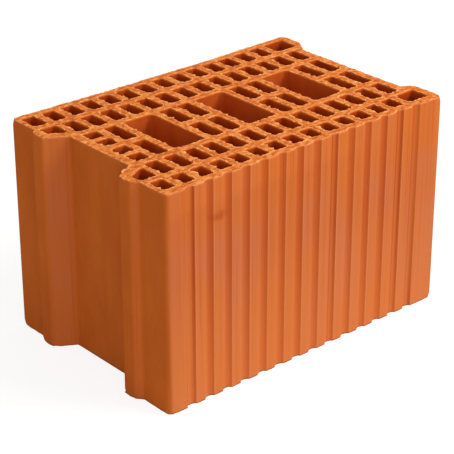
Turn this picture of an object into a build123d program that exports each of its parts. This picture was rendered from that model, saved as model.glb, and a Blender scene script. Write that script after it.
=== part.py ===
from build123d import *
import math
import os

# A hollow fired-clay block, drawn through a die and cut square with a wire.
# Every wall runs straight from the bottom bed face to the top one, so one plan is extruded once.
# Millimetres. The origin is the centre of the bottom face's box, +Z is up along the holes,
# -X is the end with the two tongues, +X the end with the two lugs, -Y the grooved long face.

# Overall sizes. The length is the coursing length, from the flats at the tongue end to the lugs.
length = 375.0
width = 250.0
height = 238.0

# Walls and webs
back_wall = 8.0
front_wall = 8.0
flat_wall = 6.0
pocket_wall = 10.0
recess_wall = 10.0
lug_wall = 10.5
tongue_wall = 10.5
flank_wall = 11.0
tongue_web = 6.5
cross_web = 8.4
row_web = 8.4

# Holes: fifteen columns along the length, three rows each side of the middle web
columns = 15
middle_row_share = 0.159
inner_row_share = 0.207
cell_corner = 3.0
grip_corner = 5.0
grip_columns = (4, 8, 12)
split_cell_web = 5.5

# Grooves that key the plaster on the front face
groove_mouth = 12.0
groove_depth = 3.5

# Tongues at the -X end, with a pocket between them
tongue_reach = 7.0
tongue_tip = 17.0
tongue_step = 5.5
pocket_depth = 17.0
tongue_corner = 3.5
pocket_corner = 4.0

# Lugs at the +X end, which take the next block's tongues between them; the front one is the blunter
joint_gap = 6.2
lug_foot = 2.7
back_lug_slope = 19.0
front_lug_slope = 8.5
lug_corner = 7.0
recess_corner = 3.0

block_corner = 5.0

# Stations along X
tip_x = -(length + tongue_reach) / 2
flat_x = tip_x + tongue_reach
pocket_x = flat_x + pocket_depth
lug_x = flat_x + length
recess_x = lug_x - tongue_reach - joint_gap

# Column sizes: the walls and webs are fixed and the cells share what is left
first_cell_x = flat_x + flat_wall
last_cell_x = recess_x - recess_wall
cell_length = (last_cell_x - first_cell_x - (columns - 1) * cross_web) / columns
column_pitch = cell_length + cross_web

# Stations along Y, mirrored on each side of the middle web
clear_depth = width - back_wall - front_wall - groove_depth - 5 * row_web
inner_row = inner_row_share * clear_depth
middle_row = middle_row_share * clear_depth
inner_near = row_web / 2
inner_far = inner_near + inner_row
middle_near = inner_far + row_web
middle_far = middle_near + middle_row
outer_near = middle_far + row_web
back_far = width / 2 - back_wall
front_far = width / 2 - front_wall - groove_depth
pocket_y = inner_far + row_web / 2
tongue_root_y = middle_far + row_web / 4
tip_far_y = tongue_root_y - tongue_step
tip_near_y = tip_far_y - tongue_tip
lug_root_y = tip_far_y - lug_foot


def column_start(column):
    """The X of a column's wall towards the tongues; columns count from 0 at the tongue end."""
    return first_cell_x + column * column_pitch


def hole(x_low, x_high, y_low, y_high, corner):
    """One rectangular hole with rounded corners, between two stations along X and two along Y."""
    outline = RectangleRounded(x_high - x_low, y_high - y_low, corner)
    return Pos((x_low + x_high) / 2, (y_low + y_high) / 2) * outline


def half_outline(lug_slope):
    """Half of the outline from the pocket round to the recess, each point with its corner radius."""
    return [
        (pocket_x, pocket_y, pocket_corner),
        (tip_x, tip_near_y, tongue_corner),
        (tip_x, tip_far_y, tongue_corner),
        (flat_x, tongue_root_y, tongue_corner),
        (flat_x, width / 2, block_corner),
        (lug_x, width / 2, block_corner),
        (lug_x, lug_root_y + lug_slope, lug_corner),
        (recess_x, lug_root_y, recess_corner),
    ]


def block_outline():
    """The outside of the block: corner flats, two tongues and their pocket, two lugs and their recess."""
    front_half = [(x, -y, radius) for x, y, radius in reversed(half_outline(front_lug_slope))]
    corners = half_outline(back_lug_slope) + front_half
    line = FilletPolyline(
        *[(x, y) for x, y, radius in corners],
        radius=[radius for x, y, radius in corners],
        close=True,
    )
    return make_face(line)


def tongue_hole(side):
    """The four-sided hole in a tongue, one wall in from the tip and another in from the slanted flank."""
    run_x = pocket_x - tip_x
    run_y = tip_near_y - pocket_y
    flank = math.hypot(run_x, run_y)
    low_x = tip_x + tongue_wall
    high_x = column_start(1) - tongue_web

    def flank_y(x):
        """The Y of the line one wall inside the flank, at a station along X."""
        return tip_near_y - (x - tip_x) * run_y / run_x + flank_wall * flank / run_x

    points = [
        (low_x, flank_y(low_x)),
        (low_x, middle_far),
        (high_x, middle_far),
        (high_x, flank_y(high_x)),
    ]
    if side < 0:
        points = [(x, -y) for x, y in reversed(points)]
    line = FilletPolyline(*points, radius=cell_corner, close=True)
    return make_face(line)


def cell_rows(side):
    """The near and far Y of the three rows on one side of the middle web, outermost first."""
    outer_far = back_far if side > 0 else front_far
    rows = [(outer_near, outer_far), (middle_near, middle_far), (inner_near, inner_far)]
    return [tuple(sorted((side * near, side * far))) for near, far in rows]


def cells():
    """Every hole apart from the three grip holes."""
    holes = []
    for side in (1, -1):
        outer, middle, inner = cell_rows(side)
        for column in range(columns):
            x_low = column_start(column)
            x_high = x_low + cell_length
            last = column == columns - 1
            outer_end = lug_x - lug_wall if last else x_high
            holes.append(hole(x_low, outer_end, *outer, cell_corner))
            if column == 0:
                holes.append(tongue_hole(side))
                continue
            holes.append(hole(x_low, x_high, *middle, cell_corner))
            if column == 1:
                holes += split_cells(side, x_high)
            elif column + 1 not in grip_pairs():
                holes.append(hole(x_low, x_high, *inner, cell_corner))
    return holes


def grip_pairs():
    """The numbers of the columns, counted from 1, that the grip holes take two at a time."""
    return [start + step for start in grip_columns for step in (0, 1)]


def split_cells(side, x_high):
    """Behind the pocket the inner row is cut by one more web into two small holes."""
    x_low = pocket_x + pocket_wall
    half_row = (inner_row - split_cell_web) / 2
    small = []
    for near in (inner_near, inner_far - half_row):
        y_low, y_high = sorted((side * near, side * (near + half_row)))
        small.append(hole(x_low, x_high, y_low, y_high, cell_corner))
    return small


def grip_holes():
    """Three large holes across both inner rows, where a hand lifts the block."""
    holes = []
    for start in grip_columns:
        x_low = column_start(start - 1)
        x_high = column_start(start) + cell_length
        holes.append(hole(x_low, x_high, -inner_far, inner_far, grip_corner))
    return holes


def plaster_grooves():
    """Round-bottomed grooves down the front face, one on the line of each cross web."""
    radius = ((groove_mouth / 2) ** 2 + groove_depth**2) / (2 * groove_depth)
    centre_y = -width / 2 - (radius - groove_depth)
    grooves = []
    for column in range(1, columns):
        web_x = column_start(column) - cross_web / 2
        grooves.append(Pos(web_x, centre_y) * Circle(radius))
    return grooves


plan = block_outline() - (cells() + grip_holes() + plaster_grooves())
clay_block = extrude(plan, amount=height)

os.makedirs("parts", exist_ok=True)
export_step(clay_block, "parts/clay_block.step")
print("holes", len(cells()) + len(grip_holes()))
print("cell length", round(cell_length, 2), "column pitch", round(column_pitch, 2))
print("volume in litres", round(clay_block.volume / 1e6, 3))
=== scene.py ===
"""A hollow extruded clay block, wire-cut and fired, standing on a pale studio floor.

The block is one piece of clay, so it is one mesh: the plan's outlines carried down through a few
levels as walls, and the two cut beds laid between the same outlines. Everything is in metres, +Z up
along the holes, with the origin in the middle of the bottom bed.
"""

import math

import bpy
import numpy as np
from mathutils import Matrix, Vector
from mathutils.geometry import delaunay_2d_cdt


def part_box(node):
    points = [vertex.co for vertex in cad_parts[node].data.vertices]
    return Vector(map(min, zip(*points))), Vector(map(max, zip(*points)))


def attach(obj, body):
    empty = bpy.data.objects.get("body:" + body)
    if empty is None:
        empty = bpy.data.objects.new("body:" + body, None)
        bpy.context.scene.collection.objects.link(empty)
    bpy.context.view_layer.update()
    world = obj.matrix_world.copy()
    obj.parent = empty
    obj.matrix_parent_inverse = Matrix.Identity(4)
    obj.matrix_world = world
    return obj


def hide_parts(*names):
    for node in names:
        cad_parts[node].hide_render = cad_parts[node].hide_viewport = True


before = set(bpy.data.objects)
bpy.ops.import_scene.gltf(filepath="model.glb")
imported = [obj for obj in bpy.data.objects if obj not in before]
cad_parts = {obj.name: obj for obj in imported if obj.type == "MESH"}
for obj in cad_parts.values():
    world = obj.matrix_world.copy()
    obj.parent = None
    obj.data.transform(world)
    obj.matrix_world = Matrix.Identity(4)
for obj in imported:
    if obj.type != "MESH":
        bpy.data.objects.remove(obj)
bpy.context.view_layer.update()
block_low, block_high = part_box("clay_block")

MM = 0.001

# Plan of the block: the overall box comes from the frame, walls and webs are the die's own sizes
back_wall = 8.0 * MM
front_wall = 8.0 * MM
flat_wall = 6.0 * MM
pocket_wall = 10.0 * MM
recess_wall = 10.0 * MM
lug_wall = 10.5 * MM
tongue_wall = 10.5 * MM
flank_wall = 11.0 * MM
tongue_web = 6.5 * MM
cross_web = 8.4 * MM
row_web = 8.4 * MM
columns = 15
middle_row_share = 0.159
inner_row_share = 0.207
cell_corner = 3.0 * MM
grip_corner = 5.0 * MM
grip_columns = (4, 8, 12)
split_cell_web = 5.5 * MM
groove_mouth = 12.0 * MM
groove_depth = 3.5 * MM
groove_past_web = 2.8 * MM
tongue_reach = 7.0 * MM
tongue_tip = 17.0 * MM
tongue_step = 5.5 * MM
tongue_corner = 3.5 * MM
pocket_depth = 17.0 * MM
pocket_corner = 4.0 * MM
joint_gap = 6.2 * MM
lug_foot = 2.7 * MM
back_lug_slope = 19.0 * MM
front_lug_slope = 8.5 * MM
lug_corner = 7.0 * MM
recess_corner = 3.0 * MM
block_corner = 5.0 * MM

# Stations worked out from those sizes
half_width = block_high.y
top_z = block_high.z
bottom_z = block_low.z
tip_x = block_low.x
lug_x = block_high.x
flat_x = tip_x + tongue_reach
pocket_x = flat_x + pocket_depth
recess_x = lug_x - tongue_reach - joint_gap
first_cell_x = flat_x + flat_wall
last_cell_x = recess_x - recess_wall
cell_length = (last_cell_x - first_cell_x - (columns - 1) * cross_web) / columns
column_pitch = cell_length + cross_web
clear_depth = 2 * half_width - back_wall - front_wall - groove_depth - 5 * row_web
inner_near = row_web / 2
inner_far = inner_near + inner_row_share * clear_depth
middle_near = inner_far + row_web
middle_far = middle_near + middle_row_share * clear_depth
outer_near = middle_far + row_web
back_far = half_width - back_wall
front_far = half_width - front_wall - groove_depth
pocket_y = inner_far + row_web / 2
tongue_root_y = middle_far + row_web / 4
tip_far_y = tongue_root_y - tongue_step
tip_near_y = tip_far_y - tongue_tip
lug_root_y = tip_far_y - lug_foot

# How finely the clay is laid out
outline_spacing = 1.4 * MM
top_spacing = 1.5 * MM
bottom_spacing = 2.8 * MM
arc_step = math.radians(20)
wall_depths = np.array([0.0, 0.7, 2.0, 6.0]) * MM

# What extruding, cutting and firing leave on the clay
bow = 5.0 * MM
front_bow_share = 0.25
bow_fade_share = 0.25
back_narrowing = 2.6 * MM
lug_end_narrowing = 1.3 * MM
drift = 0.5 * MM
drift_size = 70.0 * MM
arris_round = 0.45 * MM
burr_reach = 1.8 * MM
burr_thickness = 1.4 * MM
burr_length = 5.0 * MM
fray_length = 1.7 * MM
flake_length = 3.8 * MM
lip_height = 0.5 * MM
lip_width = 1.1 * MM
rim_width = 2.0 * MM
arris_width = 0.8 * MM
foot_height = 1.2 * MM
wire_way = np.array([1.0, 0.0])
bed_relief = 0.32 * MM
tear_size = 2.6 * MM
crumb_size = 1.7 * MM
dip_size = 8.0 * MM
hole_smear = 1.0
split_hole_smear = 1.7
skin_smear = 0.3
torn_smear = 3.2
torn_place = np.array([-0.180, -0.057])
torn_size = 11.0 * MM
corner_wear = 1.5 * MM
corner_size = 7.0 * MM
corner_depth = 3.0 * MM
lined_grooves = (1, 9, 13)
seam_columns = (4, 9)
seam_depth = 0.7 * MM
seam_half_width = 0.5 * MM
seam_margin = 2.0 * MM
seam_patch = 14.0 * MM

# How much the walls darken with depth: the skin, the regular holes, the grip holes and the split holes.
# The narrower a hole, the less light gets down it.
hole_tones = (0.0, 1.0, 0.0, 1.0)


def column_start(column):
    """The X of a column's wall towards the tongues; columns count from 0 at the tongue end."""
    return first_cell_x + column * column_pitch


# Outlines of the plan, each an array of points with the clay on its left


def rounded_outline(corners):
    """A closed outline with an arc at each corner: it leaves one side where it touches it, turns about
    a centre on the corner's bisector by the angle between the sides, and joins the next side."""
    points = np.array([(x, y) for x, y, radius in corners])
    arcs = []
    for index, (x, y, radius) in enumerate(corners):
        corner = points[index]
        to_last = points[index - 1] - corner
        to_next = points[(index + 1) % len(points)] - corner
        to_last /= np.linalg.norm(to_last)
        to_next /= np.linalg.norm(to_next)
        half = math.acos(np.clip(to_last @ to_next, -1, 1)) / 2
        bisector = (to_last + to_next) / np.linalg.norm(to_last + to_next)
        centre = corner + bisector * radius / math.sin(half)
        start = corner + to_last * radius / math.tan(half) - centre
        turn = math.pi - 2 * half
        way = np.sign(to_next[0] * to_last[1] - to_next[1] * to_last[0])
        angles = way * np.linspace(0, turn, max(3, math.ceil(turn / arc_step) + 1))
        arcs.append(turned(start, angles) + centre)
    return np.concatenate(arcs)


def turned(arm, angles):
    """One arm turned about the origin by each angle."""
    cosine, sine = np.cos(angles), np.sin(angles)
    return np.stack([cosine * arm[0] - sine * arm[1], sine * arm[0] + cosine * arm[1]], axis=1)


def spaced(points, spacing):
    """Points added along each side of a closed outline, so that no side is longer than the spacing."""
    sides = np.roll(points, -1, axis=0) - points
    parts = np.maximum(1, np.ceil(np.linalg.norm(sides, axis=1) / spacing)).astype(int)
    side = np.repeat(np.arange(len(points)), parts)
    step = np.arange(len(side)) - np.repeat(np.cumsum(parts) - parts, parts)
    return points[side] + sides[side] * (step / parts[side])[:, None]


def plaster_grooves():
    """The grooves on the front face: arcs of one radius, centred outside the face just past each web."""
    radius = ((groove_mouth / 2) ** 2 + groove_depth**2) / (2 * groove_depth)
    half = math.asin(groove_mouth / 2 / radius)
    angles = np.linspace(-half, half, 2 * math.ceil(half / arc_step) + 3)
    webs = np.array([column_start(column) - cross_web / 2 for column in range(1, columns)])
    x = webs[:, None] + groove_past_web + radius * np.sin(angles)
    y = radius * np.cos(angles) - half_width - (radius - groove_depth)
    return np.stack([x, np.broadcast_to(y, x.shape)], axis=2).reshape(-1, 2)


def half_outline(lug_slope):
    """Half of the outside, from the recess round to the pocket, each corner with its radius."""
    return [
        (recess_x, lug_root_y, recess_corner),
        (lug_x, lug_root_y + lug_slope, lug_corner),
        (lug_x, half_width, block_corner),
        (flat_x, half_width, block_corner),
        (flat_x, tongue_root_y, tongue_corner),
        (tip_x, tip_far_y, tongue_corner),
        (tip_x, tip_near_y, tongue_corner),
        (pocket_x, pocket_y, pocket_corner),
    ]


def block_outline():
    """The outside, anticlockwise from the front lug: recess, back face, tongues and pocket, grooves."""
    back_half = half_outline(back_lug_slope)
    front_half = [(x, -y, r) for x, y, r in reversed(half_outline(front_lug_slope))]
    corners = front_half[-3:] + back_half + front_half[:-3]
    return np.concatenate([rounded_outline(corners), plaster_grooves()])


def hole(x_low, x_high, y_low, y_high, corner=cell_corner):
    """A rectangular hole with rounded corners, clockwise, so that the clay is on its left."""
    x_low, x_high = sorted((x_low, x_high))
    y_low, y_high = sorted((y_low, y_high))
    corners = [(x_low, y_low), (x_low, y_high), (x_high, y_high), (x_high, y_low)]
    return rounded_outline([(x, y, corner) for x, y in corners])


def tongue_hole(side):
    """The four-sided hole in a tongue, one wall in from the tip and from the slanted flank."""
    run_x = pocket_x - tip_x
    run_y = tip_near_y - pocket_y
    flank = math.hypot(run_x, run_y)
    x = np.array([tip_x + tongue_wall, column_start(1) - tongue_web])
    near = tip_near_y - (x - tip_x) * run_y / run_x + flank_wall * flank / run_x
    corners = [(x[0], near[0]), (x[0], middle_far), (x[1], middle_far), (x[1], near[1])]
    if side < 0:
        corners = [(px, -py) for px, py in reversed(corners)]
    return rounded_outline([(px, py, cell_corner) for px, py in corners])


def regular_holes():
    """The holes with clean walls: outer and middle rows, inner rows beside the grip holes."""
    holes = []
    grip_pairs = [start + step for start in grip_columns for step in (0, 1)]
    for side, outer_far in ((1, back_far), (-1, front_far)):
        for column in range(columns):
            x_low = column_start(column)
            x_high = x_low + cell_length
            outer_end = lug_x - lug_wall if column == columns - 1 else x_high
            holes.append(hole(x_low, outer_end, side * outer_near, side * outer_far))
            if column > 0:
                holes.append(hole(x_low, x_high, side * middle_near, side * middle_far))
            if column > 1 and column + 1 not in grip_pairs:
                holes.append(hole(x_low, x_high, side * inner_near, side * inner_far))
        holes.append(tongue_hole(side))
    return holes


def grip_holes():
    """Three large holes, two columns long, across both inner rows."""
    starts = [column_start(start - 1) for start in grip_columns]
    ends = [column_start(start) + cell_length for start in grip_columns]
    return [hole(a, b, -inner_far, inner_far, grip_corner) for a, b in zip(starts, ends)]


def split_holes():
    """Four small holes behind the pocket, where one more web halves each inner row."""
    x_low = pocket_x + pocket_wall
    x_high = column_start(1) + cell_length
    half_row = (inner_far - inner_near - split_cell_web) / 2
    starts = [inner_near, inner_far - half_row, -inner_near, half_row - inner_far]
    return [hole(x_low, x_high, y, y + math.copysign(half_row, y)) for y in starts]


# Repeatable roughness


def lattice(cells, seed):
    """A repeatable number from -1 to 1 for each whole-number cell: its bits are multiplied and mixed."""
    bits = np.full(len(cells), seed, np.uint32)
    for places in cells.T:
        bits ^= places.astype(np.int64).astype(np.uint32) * np.uint32(0x9E3779B1)
        bits ^= bits >> np.uint32(15)
        bits *= np.uint32(0x85EBCA6B)
        bits ^= bits >> np.uint32(13)
    return bits / np.float64(2**31) - 1


def rough(points, size, seed):
    """Smooth noise from -1 to 1: each point blends the numbers at the corners of its cell, with an
    ease-in and ease-out along each side."""
    places = points / size
    cells = np.floor(places)
    ease = (places - cells) ** 2 * (3 - 2 * (places - cells))
    total = np.zeros(len(points))
    for corner in np.ndindex(*(2,) * points.shape[1]):
        share = np.prod(np.where(corner, ease, 1 - ease), axis=1)
        total += share * lattice(cells + corner, seed)
    return total


def as_fired(points):
    """Plan points moved as the clay moved in drying: the clay bows towards the front by a parabola in X,
    the front face the other way by its own share, with a straight fade between, the back half comes in
    by the square of its distance from the middle, more at the lug end, and everything drifts a little by
    slow noise."""
    along = 1 - (points[:, 0] / lug_x) ** 2
    across = np.clip((points[:, 1] + half_width) / (bow_fade_share * half_width), 0, 1)
    moved = points.copy()
    moved[:, 1] -= bow * along * (across - front_bow_share)
    narrowing = back_narrowing + lug_end_narrowing * points[:, 0] / lug_x
    moved[:, 1] -= narrowing * np.clip(points[:, 1] / half_width, 0, 1) ** 2
    moved[:, 0] += drift * rough(points, drift_size, 11)
    moved[:, 1] += drift * rough(points, drift_size, 12)
    return moved


# The block's mesh


def joined_outlines(outlines):
    """All outlines as one array, with each point's next point and the unit normal out of the clay."""
    points = np.concatenate(outlines)
    sizes = np.array([len(outline) for outline in outlines])
    starts = np.repeat(np.cumsum(sizes) - sizes, sizes)
    place = np.arange(len(points)) - starts
    following = starts + (place + 1) % np.repeat(sizes, sizes)
    before = starts + (place - 1) % np.repeat(sizes, sizes)
    along = points[following] - points[before]
    normals = np.stack([along[:, 1], -along[:, 0]], axis=1)
    return points, following, normals / np.linalg.norm(normals, axis=1, keepdims=True)


def burrs(points, normals, smear, seed):
    """How far the cut rim stands out of its wall, or back from it where the edge has crumbled: two sizes
    of noise, and a third for torn flakes, all stronger where the wire dragged the clay off an edge."""
    dragged = 0.45 + 0.55 * np.clip(normals @ wire_way, 0, 1)
    ragged = 0.1 + 0.6 * rough(points, burr_length, seed) + 0.45 * rough(points, fray_length, seed + 1)
    torn = np.maximum(rough(points, flake_length, seed + 2) - 0.4, 0)
    return burr_reach * smear * dragged * (np.maximum(ragged, -0.4) + 2.6 * torn)


def nearness(points, places, size):
    """How near each point is to the nearest of a few places, by a bell curve of a size."""
    return np.exp(-((gap_to(points, places) / size) ** 2))


def walls(points, normals, smear, moved):
    """The outlines carried down from the top bed to the bottom one, and how near each vertex is to a
    bed. Near each bed the arris is rounded by an ease-out curve, and the burrs and the wear of the
    corners of the block and its tongues fade with depth by bell curves."""
    corners = [(x, y) for x in (flat_x, lug_x) for y in (-half_width, half_width)]
    corners += [(tip_x, side * y) for side in (-1, 1) for y in (tip_near_y, tip_far_y)]
    wear = corner_wear * nearness(points, np.array(corners), corner_size)
    height = top_z - bottom_z
    depths = np.concatenate([wall_depths, [height / 2], height - wall_depths[::-1]])
    grid = np.empty((len(depths), len(points), 3))
    edge = np.empty((len(depths), len(points)))
    for level, depth in enumerate(depths):
        near = min(depth, height - depth)
        seed = 21 if depth < height / 2 else 31
        fade = math.exp(-((near / burr_thickness) ** 2))
        out = burrs(points, normals, smear, seed) * fade
        out -= arris_round * max(0.0, 1 - near / (2 * arris_round)) ** 2
        out -= wear * math.exp(-((near / corner_depth) ** 2))
        grid[level, :, :2] = moved + normals * out[:, None]
        lip = lip_height * (0.4 + rough(points, 2.4 * MM, seed + 5)) * (near == 0)
        grid[level, :, 2] = top_z - depth + np.where(depth < height / 2, lip, -lip)
        edge[level] = math.exp(-near / (1.5 * MM))
    return grid, edge


def wall_faces(levels, following):
    """A quad between each two neighbouring points of two neighbouring levels, facing out of the clay."""
    count = len(following)
    here = np.arange(count)
    rows = (np.arange(levels - 1) * count)[:, None]
    quad = [rows + here + count, rows + following + count, rows + following, rows + here]
    return np.stack(quad, axis=2).reshape(-1, 4)


def inside_clay(places, points, following):
    """Whether each place is in the clay: a line from it along +X crosses the outlines an odd number
    of times. Done in batches to keep the arrays small."""
    start, end = points, points[following]
    slope = (end[:, 0] - start[:, 0]) / np.where(end[:, 1] == start[:, 1], 1, end[:, 1] - start[:, 1])
    answers = []
    for batch in np.array_split(places, max(1, len(places) // 1000)):
        y = batch[:, 1:2]
        spans = (start[:, 1] > y) != (end[:, 1] > y)
        crossing = start[:, 0] + (y - start[:, 1]) * slope
        answers.append((spans & (crossing > batch[:, :1])).sum(axis=1) % 2 == 1)
    return np.concatenate(answers)


def gap_to(places, points):
    """The distance from each place to the nearest of the points, in batches."""
    size = (points**2).sum(axis=1)
    gaps = []
    for batch in np.array_split(places, max(1, len(places) // 1000)):
        squares = (batch**2).sum(axis=1)[:, None] + size - 2 * batch @ points.T
        gaps.append(np.sqrt(np.maximum(squares.min(axis=1), 0)))
    return np.concatenate(gaps)


def seam_lines():
    """Points down the two split lines, in three rows: the middle one is the bottom of the seam."""
    lines = []
    for column in seam_columns:
        x = column_start(column) - cross_web / 2
        for side, far in ((1, half_width), (-1, half_width - groove_depth)):
            y = side * np.arange(inner_far + seam_margin, far - seam_margin, outline_spacing)
            for shift in (-1, 0, 1):
                lines.append(np.stack([np.full(len(y), x + shift * seam_half_width), y], axis=1))
    bottoms = np.concatenate(lines[1::3])
    return np.concatenate(lines), bottoms


def bed_points(points, following, spacing):
    """Places on a cut face: a jittered honeycomb grid in the clay, clear of the rims and the seams,
    and the rows of points along the seams."""
    x = np.arange(tip_x, lug_x, spacing)
    y = np.arange(-half_width, half_width, spacing * math.sin(math.pi / 3))
    grid = np.stack(np.meshgrid(x, y), axis=2)
    grid[1::2, :, 0] += spacing / 2
    grid = grid.reshape(-1, 2)
    shake = np.stack([rough(grid, 1.3 * MM, seed) for seed in (41, 42)], axis=1)
    grid = grid + 0.3 * spacing * shake
    grid = grid[inside_clay(grid, points, following)]
    grid = grid[gap_to(grid, points) > 0.55 * outline_spacing]
    seams, bottoms = seam_lines()
    grid = grid[gap_to(grid, seams) > 0.5 * spacing]
    return np.concatenate([grid, seams]), bottoms


def bed_triangles(points, following, places):
    """The cut face's triangles: Delaunay between rims and places, without those that lie in a hole or
    outside. Only ones with all three corners on the rims can, and where such a triangle has a side on a
    rim, the side's direction tells: along the outline, its left is clay."""
    count = len(points)
    everything = [Vector(place) for place in np.concatenate([points, places])]
    rims = [(int(a), int(b)) for a, b in enumerate(following)]
    result = delaunay_2d_cdt(everything, rims, [], 0, 1e-7)
    triangles = np.array(result[2])
    if len(result[0]) != len(everything):
        raise RuntimeError("two points of the cut face fell on one another")
    original = np.array([ids[0] for ids in result[3]])
    triangles = original[triangles]
    on_rims = (triangles < count).all(axis=1)
    corners = triangles[on_rims]
    next_corners = np.roll(corners, -1, axis=1)
    along_rim = (following[corners] == next_corners).any(axis=1)
    against_rim = (following[next_corners] == corners).any(axis=1)
    in_clay = inside_clay(points[corners].mean(axis=1), points, following)
    keep = np.ones(len(triangles), bool)
    keep[on_rims] = along_rim | (~against_rim & in_clay)
    return triangles[keep]


def make_bed(points, following, spacing, z, upwards, seed):
    """One cut face: its inner vertices, its triangles on the rims and those vertices, and how near each
    vertex is to a rim. The height is torn-clay noise in three sizes, the first one stretched along the
    wire's way, with a lip that dies away from the rims, less the seams' depth along their bottoms. On a
    seam's bottom the nearness is minus the share of the seam's depth instead."""
    places, bottoms = bed_points(points, following, spacing)
    triangles = bed_triangles(points, following, places)
    gap = gap_to(places, points)
    edge = np.exp(-gap / rim_width)
    stretched = places * np.where(wire_way > 0, 0.5, 1.0)
    relief = 0.7 * rough(stretched, tear_size, seed) + 0.5 * rough(places, crumb_size, seed + 1)
    relief += 0.5 * rough(places, dip_size, seed + 2)
    in_seam = gap_to(places, bottoms) < 0.1 * MM
    sink = seam_depth * in_seam * np.clip(0.6 + 1.2 * rough(places, seam_patch, seed + 3), 0, 1)
    vertices = np.empty((len(places), 3))
    vertices[:, :2] = as_fired(places)
    vertices[:, 2] = z + upwards * (bed_relief * relief + lip_height * np.exp(-gap / lip_width) - sink)
    edge[in_seam] = -sink[in_seam] / seam_depth
    return vertices, triangles, edge


def nearest_groove(points):
    """The number of the groove nearest to each point of the plan, counted from 1 at the tongue end, and
    how far along X the point lies past its middle."""
    past = points[:, 0] - column_start(0) + cross_web / 2 - groove_past_web
    numbers = np.round(past / column_pitch)
    return numbers, past - numbers * column_pitch


def skin_tone(points, normals):
    """Where each point of the skin lies: 1 on the ends, 0 on the long faces, and in a groove about
    -0.75 across its half towards the lugs and -1 at that half's edge, a little more or less by groove;
    these negative values are painted shade, on the half that faces away from the key light. A few
    grooves have two darker lines instead, of up to -1.3: dark crease lines, the outer one with painted
    shade."""
    tone = np.clip((np.abs(normals[:, 0]) - 0.4) / 0.4, 0, 1)
    sunk = (points[:, 1] + half_width) / groove_depth
    grooved = np.abs(points[:, 0]) < column_start(columns - 1)
    numbers, past = nearest_groove(points)
    share = past / groove_mouth + 0.5
    plain = np.interp(share, [0.38, 0.5, 0.8, 0.95], [0, 0.75, 0.75, 1])
    lined = np.interp(share, [0.38, 0.5, 0.62, 0.74, 0.84, 0.95], [0, 1.3, 0.2, 0.2, 1.0, 1.15])
    plain *= 0.9 + 0.22 * rough(points[:, :1], 19 * MM, 72)
    shade = np.where(np.isin(numbers, lined_grooves), lined, plain)
    return np.where(grooved & (sunk > 0.02) & (sunk < 1.01), -shade, tone)


def arris_nearness(points):
    """How near each point of the plan is to a groove's arris, from 1 on it to 0 well away. It sets a
    pale line along the arris that is partly wear and partly painted highlight.
    """
    past = nearest_groove(points)[1]
    gap = np.hypot(np.abs(past) - groove_mouth / 2, points[:, 1] + half_width)
    grooved = np.abs(points[:, 0]) < column_start(columns - 1)
    wear_and_highlight = np.where(past > 0, 0.7 + 0.3 * rough(points, 9 * MM, 71), 0.2)
    return np.where(grooved, wear_and_highlight * np.exp(-gap / arris_width), 0)


def make_block():
    """The whole block as one closed mesh: walls of every outline, and the two beds between them. Each
    vertex has four measures for the finishes: edge, how near it is to a rim, tone, which part of the
    skin or kind of hole it is on, which also sets the painted shade in the grooves and down the holes,
    arris, how near to a groove's arris, for a pale line that is partly wear and partly painted
    highlight, and foot, how near the floor, for a painted shade line at the foot."""
    kinds = [[block_outline()], regular_holes(), grip_holes(), split_holes()]
    kinds = [[spaced(outline, outline_spacing) for outline in kind] for kind in kinds]
    counts = [sum(len(outline) for outline in kind) for kind in kinds]
    points, following, normals = joined_outlines([outline for kind in kinds for outline in kind])
    smear = np.repeat([skin_smear, hole_smear, hole_smear, split_hole_smear], counts)
    torn = nearness(points, torn_place[None], torn_size)
    smear += torn_smear * torn * (np.arange(len(points)) < counts[0])
    grid, wall_edge = walls(points, normals, smear, as_fired(points))
    levels, count = len(grid), len(points)
    sides = wall_faces(levels, following)
    tone = np.repeat(hole_tones, counts)
    tone[: counts[0]] = skin_tone(points, normals)[: counts[0]]
    tone = np.tile(tone, levels)
    arris = np.tile(arris_nearness(points), levels)
    foot = np.exp((bottom_z - grid[:, :, 2].ravel()) / foot_height)

    top, top_faces, top_edge = make_bed(points, following, top_spacing, top_z, 1, 51)
    bottom, bottom_faces, bottom_edge = make_bed(points, following, bottom_spacing, bottom_z, -1, 61)
    top_faces = np.where(top_faces < count, top_faces, top_faces + (levels - 1) * count)
    bottom_shift = (levels - 1) * count + np.where(bottom_faces < count, 0, len(top))
    beds = np.concatenate([top_faces, (bottom_faces + bottom_shift)[:, ::-1]])

    vertices = np.concatenate([grid.reshape(-1, 3), top, bottom])
    on_beds = np.zeros(len(top) + len(bottom))
    measures = {"edge": np.concatenate([wall_edge.ravel(), top_edge, bottom_edge])}
    for name, values in (("tone", tone), ("arris", arris), ("foot", foot)):
        measures[name] = np.concatenate([values, on_beds])
    outer = np.tile(np.arange(count) < counts[0], levels - 1)
    finish = np.concatenate([np.where(outer, 1, 2), np.zeros(len(beds), int)])
    return block_object(vertices, sides, beds, finish, measures)


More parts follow.
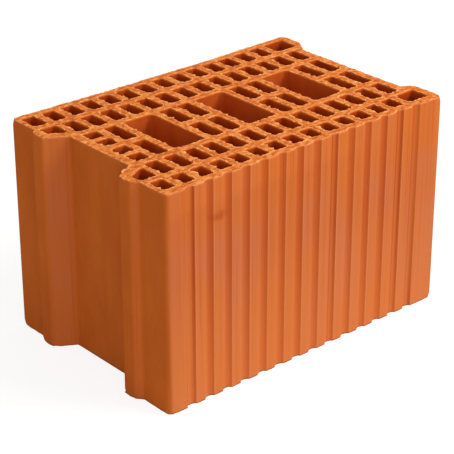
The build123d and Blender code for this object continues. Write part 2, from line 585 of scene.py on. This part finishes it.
def block_object(vertices, quads, triangles, finish, measures):
    """A Blender object from arrays of quads and triangles, with its finish numbers and its measures, one
    value for each vertex."""
    mesh = bpy.data.meshes.new("clay_block_fired")
    loops = np.concatenate([quads.ravel(), triangles.ravel()]).astype(np.int32)
    sizes = np.concatenate([np.full(len(quads), 4), np.full(len(triangles), 3)])
    mesh.vertices.add(len(vertices))
    mesh.vertices.foreach_set("co", vertices.ravel().astype(np.float32))
    mesh.loops.add(len(loops))
    mesh.loops.foreach_set("vertex_index", loops)
    mesh.polygons.add(len(sizes))
    mesh.polygons.foreach_set("loop_start", (np.cumsum(sizes) - sizes).astype(np.int32))
    mesh.polygons.foreach_set("material_index", finish.astype(np.int32))
    mesh.polygons.foreach_set("use_smooth", np.ones(len(sizes), bool))
    mesh.update(calc_edges=True)
    mesh.validate()
    for name, values in measures.items():
        attribute = mesh.attributes.new(name, "FLOAT", "POINT")
        attribute.data.foreach_set("value", values.astype(np.float32))
    mesh.set_sharp_from_angle(angle=math.radians(38))
    block = bpy.data.objects.new("clay_block_fired", mesh)
    bpy.context.scene.collection.objects.link(block)
    return block


# Finishes

cut_orange = (0.800, 0.232, 0.046)
cut_yellow = (0.940, 0.395, 0.115)
cut_red = (0.560, 0.103, 0.018)
# Paler ragged rims of the beds: partly torn clay, partly painted highlight
torn_edge_and_highlight = (0.980, 0.450, 0.185)
# Painted shade in small pits and along the seams' bottoms
pit_and_seam_shade = (0.330, 0.060, 0.010)
skin_orange = (0.597, 0.157, 0.039)
skin_pink = (0.574, 0.162, 0.063)
skin_upper = (0.640, 0.152, 0.016)
skin_middle = (0.480, 0.120, 0.030)
skin_dusky = (0.480, 0.118, 0.046)
skin_lower = (0.770, 0.226, 0.059)
skin_red = (0.520, 0.095, 0.018)
# Pale edges: partly worn clay, partly painted highlight
pale_wear_and_highlight = (0.800, 0.275, 0.112)
# Painted shade for the grooves, and dark crease lines that are partly painted shade
groove_shade_red = (0.520, 0.088, 0.013)
crease_and_shade_brown = (0.240, 0.045, 0.010)
# The ends' browner, less blue colours are painted shade: the hue the ends take in the shade they stand
# in
end_shade_brown = (0.625, 0.146, 0.019)
end_shade_dull = (0.555, 0.118, 0.015)
stain_red = (0.420, 0.070, 0.014)
# A painted shade line where the foot of the walls meets the floor
foot_shade_brown = (0.240, 0.055, 0.012)
# The holes' reds, darker and redder than the skin's, are partly painted shade inside the holes
hole_red = (0.480, 0.056, 0.004)
hole_orange = (0.640, 0.112, 0.012)
# Painted shade deep down the narrower holes
hole_depth_shade = (0.180, 0.014, 0.002)
grip_orange = (0.700, 0.190, 0.040)
shade_depth = 24.0 * MM
dry_clay_gloss = 0.05

# A faint stain on the front face, where something rubbed it
stain_place = (-0.118, -0.125, 0.197)
stain_size = (0.016, 0.05, 0.007)


def shader(name, roughness):
    """A new material, its node tree, its Principled shader and its Object coordinates."""
    material = bpy.data.materials.new(name)
    material.use_nodes = True
    tree = material.node_tree
    principled = tree.nodes["Principled BSDF"]
    principled.inputs["Roughness"].default_value = roughness
    principled.inputs["Specular IOR Level"].default_value = dry_clay_gloss
    coordinates = tree.nodes.new("ShaderNodeTexCoord")
    return material, tree, principled, coordinates.outputs["Object"]


def noise(tree, place, scale, detail=3.0, stretch=(1, 1, 1)):
    """A noise texture's value, after stretching the coordinates along each axis."""
    mapping = tree.nodes.new("ShaderNodeMapping")
    mapping.inputs["Scale"].default_value = stretch
    tree.links.new(place, mapping.inputs["Vector"])
    texture = tree.nodes.new("ShaderNodeTexNoise")
    texture.inputs["Scale"].default_value = scale
    texture.inputs["Detail"].default_value = detail
    tree.links.new(mapping.outputs["Vector"], texture.inputs["Vector"])
    return texture.outputs["Fac"]


def ramp(tree, value, low, high):
    """A value spread from 0 at low to 1 at high."""
    node = tree.nodes.new("ShaderNodeMapRange")
    node.inputs["From Min"].default_value = low
    node.inputs["From Max"].default_value = high
    tree.links.new(value, node.inputs["Value"])
    return node.outputs["Result"]


def mixed(tree, share, first, second):
    """One colour turning into another by a share; each is a fixed colour or another node's output."""
    node = tree.nodes.new("ShaderNodeMix")
    node.data_type = "RGBA"
    tree.links.new(share, node.inputs["Factor"])
    for colour, socket in ((first, node.inputs[6]), (second, node.inputs[7])):
        if isinstance(colour, tuple):
            socket.default_value = (*colour, 1)
        else:
            tree.links.new(colour, socket)
    return node.outputs[2]


def calculated(tree, operation, first, second):
    """Arithmetic on two values, each a number or another node's output."""
    node = tree.nodes.new("ShaderNodeMath")
    node.operation = operation
    for value, socket in ((first, node.inputs[0]), (second, node.inputs[1])):
        if isinstance(value, (int, float)):
            socket.default_value = value
        else:
            tree.links.new(value, socket)
    return node.outputs[0]


def axis(tree, place, letter):
    """One coordinate of a place."""
    node = tree.nodes.new("ShaderNodeSeparateXYZ")
    tree.links.new(place, node.inputs[0])
    return node.outputs[letter]


def raised(tree, principled, height, depth):
    """Bumps the surface by a height from 0 to 1, times a depth in metres."""
    bump = tree.nodes.new("ShaderNodeBump")
    bump.inputs["Strength"].default_value = 1.0
    bump.inputs["Distance"].default_value = depth
    tree.links.new(height, bump.inputs["Height"])
    tree.links.new(bump.outputs["Normal"], principled.inputs["Normal"])


def measure(tree, name, low=0.0, high=1.0):
    """One of the mesh's own measures, spread from 0 at low to 1 at high."""
    node = tree.nodes.new("ShaderNodeAttribute")
    node.attribute_name = name
    return ramp(tree, node.outputs["Fac"], low, high)


def wire_cut_clay():
    """The two beds: torn orange clay with paler ragged rims, partly torn clay and partly painted
    highlight, a darker line down the middle of each web, drag marks, crumbs, and painted shade in small
    pits and along the seams' bottoms."""
    material, tree, principled, place = shader("wire_cut_clay", 0.95)
    lumps = noise(tree, place, 250.0, 5.0, (0.7, 1.0, 1.0))
    colour = mixed(tree, ramp(tree, lumps, 0.32, 0.52), cut_red, cut_orange)
    colour = mixed(tree, ramp(tree, lumps, 0.5, 0.7), colour, cut_yellow)
    # Paler ragged rims: partly torn clay, partly painted highlight on the burrs
    rim = measure(tree, "edge", 0.42, 0.75)
    torn = calculated(tree, "MULTIPLY", rim, ramp(tree, noise(tree, place, 330.0), 0.41, 0.57))
    colour = mixed(tree, torn, colour, torn_edge_and_highlight)
    off_rims = measure(tree, "edge", 0.32, 0.16)
    off_crossings = measure(tree, "edge", 0.04, 0.11)
    line = calculated(tree, "MULTIPLY", off_rims, off_crossings)
    line = calculated(tree, "MULTIPLY", line, ramp(tree, noise(tree, place, 120.0, 4.0), 0.38, 0.6))
    colour = mixed(tree, calculated(tree, "MULTIPLY", line, 0.4), colour, cut_red)
    # Painted shade in the small pits and along the seams' bottoms
    pits = ramp(tree, noise(tree, place, 300.0, 3.0), 0.62, 0.72)
    seam = measure(tree, "edge", 0.0, -1.0)
    dark = calculated(tree, "MAXIMUM", calculated(tree, "MULTIPLY", pits, 0.6), seam)
    colour = mixed(tree, dark, colour, pit_and_seam_shade)
    tree.links.new(colour, principled.inputs["Base Color"])
    drag = noise(tree, place, 420.0, 4.0, (0.3, 1.0, 1.0))
    grain = noise(tree, place, 800.0, 3.0)
    height = calculated(tree, "ADD", drag, calculated(tree, "MULTIPLY", grain, 0.5))
    height = calculated(tree, "SUBTRACT", height, calculated(tree, "MULTIPLY", pits, 0.6))
    raised(tree, principled, height, 0.9 * MM)
    return material


def stain(tree, place):
    """The share of the stain: full at its place, fading with distance measured in its own sizes."""
    mapping = tree.nodes.new("ShaderNodeMapping")
    mapping.vector_type = "TEXTURE"
    mapping.inputs["Location"].default_value = stain_place
    mapping.inputs["Scale"].default_value = stain_size
    tree.links.new(place, mapping.inputs["Vector"])
    length = tree.nodes.new("ShaderNodeVectorMath")
    length.operation = "LENGTH"
    tree.links.new(mapping.outputs["Vector"], length.inputs[0])
    ragged = calculated(tree, "ADD", length.outputs["Value"], noise(tree, place, 170.0, 3.0))
    return ramp(tree, ragged, 1.5, 0.7)


def on_long_faces(tree, share, strength):
    """A share times a strength on the long faces and in their grooves, and nought on the ends."""
    there = calculated(tree, "MULTIPLY", share, measure(tree, "tone", 0.3, 0.0))
    return calculated(tree, "MULTIPLY", there, strength)


def fired_bands(tree, place, colour):
    """A colour with the kiln's slow changes over the long faces: more orange at the top, duller just
    below it and beside the tongues."""
    height = axis(tree, place, "Z")
    along = axis(tree, place, "X")
    orange = ramp(tree, height, 0.70 * top_z, 0.80 * top_z)
    colour = mixed(tree, on_long_faces(tree, orange, 0.5), colour, skin_upper)
    dull = ramp(tree, height, 0.40 * top_z, 0.86 * top_z)
    dull = calculated(tree, "MULTIPLY", dull, ramp(tree, height, 0.91 * top_z, 0.87 * top_z))
    dull = calculated(tree, "MULTIPLY", dull, ramp(tree, along, 1.2 * lug_x, -lug_x / 4))
    colour = mixed(tree, on_long_faces(tree, dull, 0.36), colour, skin_middle)
    beside_tongues = ramp(tree, along, -0.80 * lug_x, -0.90 * lug_x)
    return mixed(tree, on_long_faces(tree, beside_tongues, 0.4), colour, skin_dusky)


def die_skin_clay():
    """The drawn faces: smooth clay with fine streaks along the holes, slow changes of colour, painted
    shade in the grooves, pale arrises and a pale line at the top edge that are partly wear and partly
    painted highlight, browner ends whose hue is painted shade, paler clay towards the foot, and a
    painted shade line at the foot."""
    material, tree, principled, place = shader("die_skin_clay", 0.8)
    patches = ramp(tree, noise(tree, place, 16.0, 3.0, (1.0, 1.0, 0.5)), 0.42, 0.6)
    colour = fired_bands(tree, place, mixed(tree, patches, skin_orange, skin_pink))
    streaks = noise(tree, place, 300.0, 4.0, (1.0, 1.0, 0.01))
    drawn = ramp(tree, streaks, 0.5, 0.68)
    colour = mixed(tree, calculated(tree, "MULTIPLY", drawn, 0.35), colour, skin_red)
    lines = ramp(tree, noise(tree, place, 460.0, 2.0, (1.0, 1.0, 0.006)), 0.62, 0.67)
    colour = mixed(tree, calculated(tree, "MULTIPLY", lines, 0.6), colour, skin_red)
    # Painted shade over the half of each groove that faces away from the key light, with darker crease
    # lines in a few grooves that are partly painted shade
    groove_shade_share = measure(tree, "tone", 0.0, -1.0)
    colour = mixed(tree, calculated(tree, "MULTIPLY", groove_shade_share, 0.9), colour, groove_shade_red)
    colour = mixed(tree, measure(tree, "tone", -1.0, -1.5), colour, crease_and_shade_brown)
    towards_foot = ramp(tree, axis(tree, place, "Z"), 0.60 * top_z, bottom_z)
    colour = mixed(tree, on_long_faces(tree, towards_foot, 0.5), colour, skin_lower)
    # Painted shade on the ends: a browner, less blue colour, mottled by clouds
    clouds = ramp(tree, noise(tree, place, 30.0, 4.0, (1.0, 1.0, 0.4)), 0.35, 0.65)
    dull = mixed(tree, clouds, end_shade_dull, end_shade_brown)
    colour = mixed(tree, calculated(tree, "MULTIPLY", measure(tree, "tone"), 0.9), colour, dull)
    # A pale line at the top edge and on the arrises: partly worn edges, partly painted highlight
    pale = calculated(tree, "MAXIMUM", measure(tree, "edge", 0.35, 1.0), measure(tree, "arris"))
    colour = mixed(tree, calculated(tree, "MULTIPLY", pale, 0.65), colour, pale_wear_and_highlight)
    colour = mixed(tree, calculated(tree, "MULTIPLY", stain(tree, place), 0.7), colour, stain_red)
    # Painted shade along the foot, where the bottom arris meets the floor
    colour = mixed(tree, measure(tree, "foot", 0.2, 0.9), colour, foot_shade_brown)
    tree.links.new(colour, principled.inputs["Base Color"])
    fine = noise(tree, place, 600.0, 3.0, (1.0, 1.0, 0.04))
    height = calculated(tree, "ADD", streaks, calculated(tree, "MULTIPLY", fine, 0.3))
    height = calculated(tree, "SUBTRACT", height, calculated(tree, "MULTIPLY", lines, 0.5))
    raised(tree, principled, height, 0.2 * MM)
    return material


def hole_wall_clay():
    """The walls of the holes: smooth red clay, darker and redder than the skin, partly as painted shade,
    orange at the rims, with painted shade that deepens with depth from both beds, but paler and even in
    the grip holes."""
    material, tree, principled, place = shader("hole_wall_clay", 0.85)
    # A darker, redder base than the skin's: partly painted shade
    patches = ramp(tree, noise(tree, place, 60.0, 2.0, (1.0, 1.0, 0.3)), 0.35, 0.65)
    colour = mixed(tree, calculated(tree, "MULTIPLY", patches, 0.5), hole_red, hole_orange)
    # The grip holes are paler, with less painted shade, as more light gets into them
    in_grip = measure(tree, "tone", 1.0, 0.0)
    colour = mixed(tree, calculated(tree, "MULTIPLY", in_grip, 0.25), colour, grip_orange)
    # Painted shade that deepens with depth from both beds, none in the grip holes
    above_middle = calculated(tree, "SUBTRACT", axis(tree, place, "Z"), top_z / 2)
    from_middle = calculated(tree, "ABSOLUTE", above_middle, 0)
    depth = ramp(tree, from_middle, top_z / 2 - 2 * MM, top_z / 2 - shade_depth)
    colour = mixed(tree, calculated(tree, "MULTIPLY", depth, measure(tree, "tone")), colour, hole_depth_shade)
    colour = mixed(tree, measure(tree, "edge", 0.3, 0.9), colour, cut_orange)
    tree.links.new(colour, principled.inputs["Base Color"])
    return material


# Studio

camera_azimuth = math.radians(-41.3)
camera_elevation = math.radians(26.11)
camera_roll = math.radians(-0.04)
camera_distance = 1.8656
camera_lens = 135.3
camera_sideways = -0.0028
camera_rise = 0.0898
camera_centre = Vector((0.0035, 0.0, 0.0))

floor_half = 6.0
floor_bounce = (0.62, 0.60, 0.57)
floor_seen = (0.235, 0.240, 0.250)
floor_glow = 0.84
world_light = 0.5
world_tint = (1.0, 0.95, 0.86)


def studio_camera():
    """A long lens at the photograph's angle, level, with no shift."""
    back = Vector(
        (
            math.sin(camera_azimuth) * math.cos(camera_elevation),
            -math.cos(camera_azimuth) * math.cos(camera_elevation),
            math.sin(camera_elevation),
        )
    )
    level = Vector((math.cos(camera_azimuth), math.sin(camera_azimuth), 0))
    upright = back.cross(level)
    place = camera_centre + level * camera_sideways + upright * camera_rise + back * camera_distance
    right = level * math.cos(camera_roll) + upright * math.sin(camera_roll)
    up = back.cross(right)
    data = bpy.data.cameras.new("studio_camera")
    data.lens = camera_lens
    data.sensor_width = 36.0
    camera = bpy.data.objects.new("studio_camera", data)
    turn = Matrix((right, up, back)).transposed().to_4x4()
    camera.matrix_world = Matrix.Translation(place) @ turn
    bpy.context.scene.collection.objects.link(camera)
    bpy.context.scene.camera = camera


def soft_light(name, azimuth, elevation, distance, size, power):
    """A square softbox that looks at the block from an azimuth and elevation in degrees."""
    a, e = math.radians(azimuth), math.radians(elevation)
    back = Vector((math.sin(a) * math.cos(e), -math.cos(a) * math.cos(e), math.sin(e)))
    data = bpy.data.lights.new(name, "AREA")
    data.size = size
    data.energy = power
    light = bpy.data.objects.new(name, data)
    light.location = Vector((0, 0, 0.12)) + back * distance
    light.rotation_euler = back.to_track_quat("Z", "Y").to_euler()
    bpy.context.scene.collection.objects.link(light)


def pale_floor():
    """A plain pale floor: for the camera part of its white is its own, so that shadows stay soft, but
    not under the block, where only the light that comes down the holes shows it."""
    mesh = bpy.data.meshes.new("floor")
    corners = [(-floor_half, -floor_half), (floor_half, -floor_half)]
    corners += [(floor_half, floor_half), (-floor_half, floor_half)]
    mesh.from_pydata([(x, y, bottom_z) for x, y in corners], [], [(0, 1, 2, 3)])
    floor = bpy.data.objects.new("floor", mesh)
    bpy.context.scene.collection.objects.link(floor)
    material, tree, principled, place = shader("floor_paper", 0.9)
    principled.inputs["Emission Color"].default_value = (1, 1, 1, 1)
    path = tree.nodes.new("ShaderNodeLightPath")
    seen = calculated(tree, "MULTIPLY", path.outputs["Is Camera Ray"], floor_glow)
    from_middle = [calculated(tree, "ABSOLUTE", axis(tree, place, letter), 0) for letter in "XY"]
    past_ends = calculated(tree, "GREATER_THAN", from_middle[0], -pocket_x)
    past_sides = calculated(tree, "GREATER_THAN", from_middle[1], front_far)
    clear = calculated(tree, "MAXIMUM", past_ends, past_sides)
    seen = calculated(tree, "MULTIPLY", seen, clear)
    tree.links.new(seen, principled.inputs["Emission Strength"])
    base = mixed(tree, path.outputs["Is Camera Ray"], floor_bounce, floor_seen)
    tree.links.new(base, principled.inputs["Base Color"])
    mesh.materials.append(material)


def white_world():
    """Even warm daylight from all round, and plain white where the camera, gloss or glass sees it."""
    world = bpy.data.worlds.new("white_world")
    bpy.context.scene.world = world
    world.use_nodes = True
    tree = world.node_tree
    background = tree.nodes["Background"]
    path = tree.nodes.new("ShaderNodeLightPath")
    seen = calculated(tree, "MAXIMUM", path.outputs["Is Camera Ray"], path.outputs["Is Glossy Ray"])
    seen = calculated(tree, "MAXIMUM", seen, path.outputs["Is Transmission Ray"])
    tree.links.new(mixed(tree, seen, world_tint, (1.0, 1.0, 1.0)), background.inputs["Color"])
    strength = calculated(tree, "ADD", calculated(tree, "MULTIPLY", seen, 1 - world_light), world_light)
    tree.links.new(strength, background.inputs["Strength"])


block = make_block()
block.data.materials.append(wire_cut_clay())
block.data.materials.append(die_skin_clay())
block.data.materials.append(hole_wall_clay())
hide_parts("clay_block")
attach(block, "root")

studio_camera()
soft_light("key_softbox", azimuth=38, elevation=48, distance=2.6, size=1.2, power=48)
soft_light("front_fill", azimuth=-30, elevation=15, distance=3.0, size=2.0, power=20)
pale_floor()
white_world()

scene = bpy.context.scene
scene.view_settings.view_transform = "Standard"
